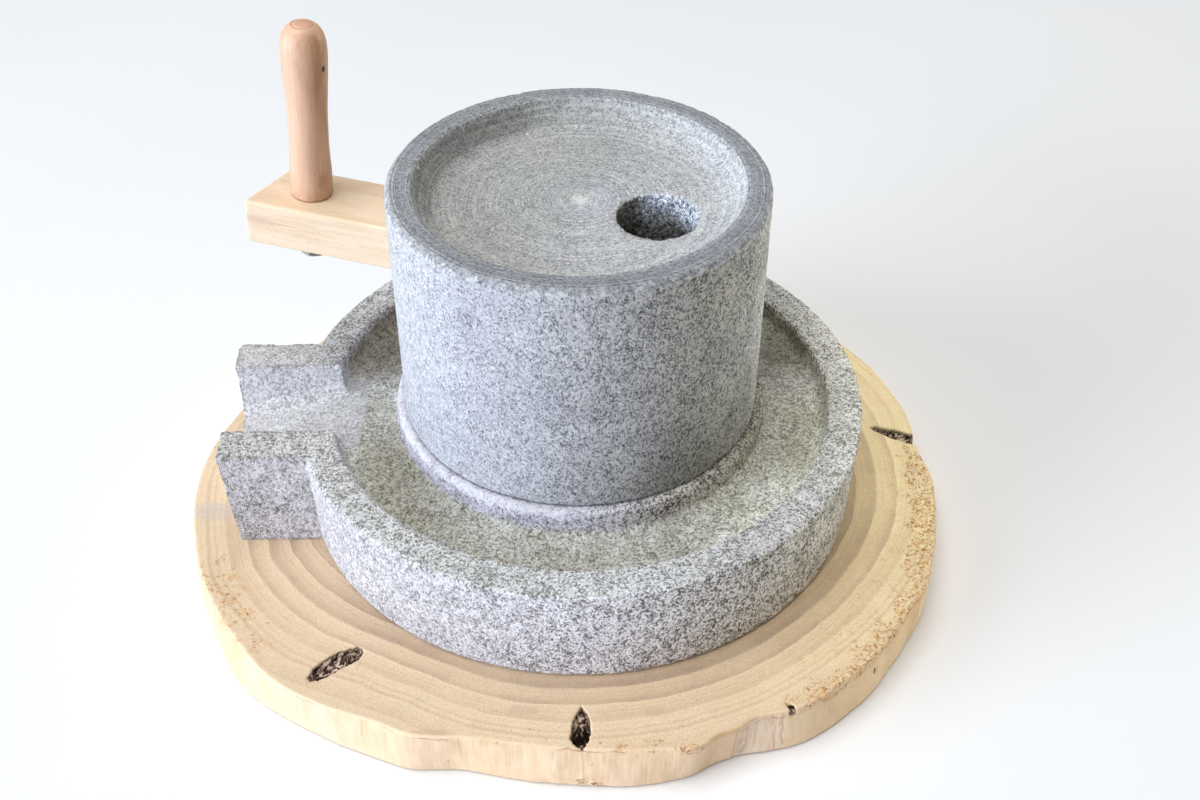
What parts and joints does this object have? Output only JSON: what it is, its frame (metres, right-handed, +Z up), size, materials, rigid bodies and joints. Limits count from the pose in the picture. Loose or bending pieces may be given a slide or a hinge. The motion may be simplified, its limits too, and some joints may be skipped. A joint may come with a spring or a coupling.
{
  "type": "matcha stone mill",
  "caption": "Hand-turned granite tea mill: grooved runner stone with dish, feed hole and wooden crank on a bed stone with trough and spout, standing on a live-edge wood slice.",
  "frame": {"origin": "on the mill's vertical axis, on the underside of the wood slice", "axes": "+Z up along the axis the runner turns about; the pouring spout points to -X; the feed hole is on the +X side"},
  "size_m": [0.3453, 0.3231, 0.2355],
  "materials": {
    "live_edge_wood": "matte",
    "granite": "matte",
    "hardwood": "matte",
    "handle_wood": "satin",
    "steel": "satin",
    "brass": "satin"
  },
  "bodies": {
    "board": {"base_board": "live_edge_wood"},
    "bed": {"bed_stone": "granite", "bed_bush": "hardwood"},
    "pivot": {"pivot_pin": "steel"},
    "runner": {"runner_stone": "granite", "runner_bush": "brass"},
    "arm": {"crank_arm": "handle_wood"},
    "handle": {"grip": "handle_wood", "grip_plug": "handle_wood", "grip_stud": "steel", "flat_washer": "steel", "hex_nut": "steel"}
  },
  "joints": [
    {"name": "mill_lift", "type": "slide", "parent": "board", "child": "bed", "axis": [0, 0, 1], "range_m": [0, 0.08]},
    {"name": "runner_spin", "type": "hinge", "parent": "bed", "child": "pivot", "pos_m": [0, 0, 0.0748], "axis": [0, 0, 1], "continuous": true},
    {"name": "runner_lift", "type": "slide", "parent": "pivot", "child": "runner", "axis": [0, 0, 1], "range_m": [0, 0.05]},
    {"name": "arm_pull", "type": "slide", "parent": "runner", "child": "arm", "axis": [-0.9718, 0.2179, 0.0901], "range_m": [0, 0.07]},
    {"name": "grip_spin", "type": "hinge", "parent": "arm", "child": "handle", "pos_m": [-0.11195, 0.02511, 0.15958], "axis": [0.0879, -0.0197, 0.9959], "continuous": true}
  ]
}
